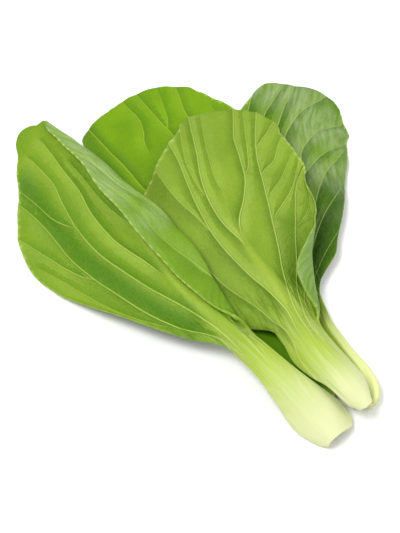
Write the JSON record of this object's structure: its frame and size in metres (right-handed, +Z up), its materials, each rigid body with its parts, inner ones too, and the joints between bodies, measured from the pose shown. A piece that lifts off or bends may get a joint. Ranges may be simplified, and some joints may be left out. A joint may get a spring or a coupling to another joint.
{
  "type": "bok choy",
  "caption": "Loose leaves of a cut bok choy, fanned out and laid over one another, each with a thick curved stalk, a broad midrib and a thin waved blade",
  "frame": {"origin": "on the surface that the leaves lie on, under the middle of the pile", "axes": "+Z up out of the surface, +Y from the cut stalks to the leaf tips, +X to the right across the fan"},
  "size_m": [0.172, 0.206, 0.0242],
  "materials": {
    "leaf_front_left": "waxy green leaf, outer side up, folded edge showing the bluish inner side",
    "leaf_front_middle": "waxy green leaf, outer side up, pale raised veins",
    "leaf_back_left": "smooth fresh green leaf, inner side up",
    "leaf_back_right": "smooth green leaf with a silvery sheen, inner side up"
  },
  "bodies": {
    "root": {"leaf_front_left": "leaf_front_left", "leaf_front_middle": "leaf_front_middle", "leaf_back_left": "leaf_back_left", "leaf_back_right": "leaf_back_right"}
  },
  "joints": []
}
